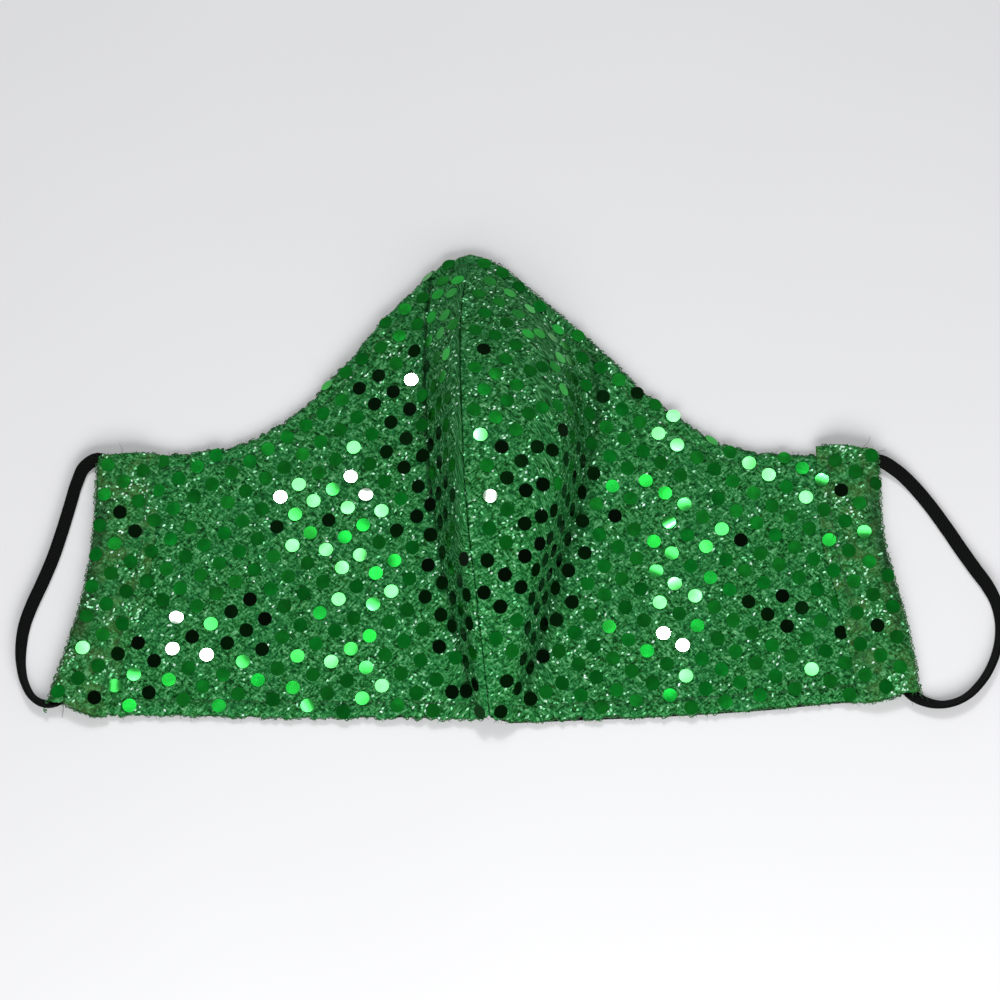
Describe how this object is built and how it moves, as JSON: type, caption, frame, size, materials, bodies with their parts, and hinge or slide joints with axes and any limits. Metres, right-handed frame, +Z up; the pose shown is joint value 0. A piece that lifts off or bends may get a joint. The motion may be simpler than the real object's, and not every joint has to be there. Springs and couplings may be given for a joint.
{
  "type": "sequin face mask",
  "caption": "Contoured cloth face mask of sequined knit with a centre seam and a raised nose, lined, with side casings and flat elastic ear loops, lying hollow side down.",
  "frame": {"origin": "middle of the mask's box without the ear loops, on the surface it lies on", "axes": "+X across the mask from one ear loop to the other, +Y from the chin edge to the nose peak, +Z up out of the hollow, square to the surface it lies on"},
  "size_m": [0.2301, 0.1137, 0.0252],
  "materials": {
    "sequined_knit": "metallic green knit with round foil sequins",
    "casing_cloth": "the same knit, folded, with an olive cast",
    "black_lining": "matt woven",
    "elastic_band": "matt braided with lengthwise ribs"
  },
  "bodies": {
    "root": {"outer_left": "sequined_knit", "outer_right": "sequined_knit", "lining_left": "black_lining", "lining_right": "black_lining", "casing_left": "casing_cloth", "casing_right": "casing_cloth", "ear_loop_left": "elastic_band", "ear_loop_right": "elastic_band"}
  },
  "joints": []
}
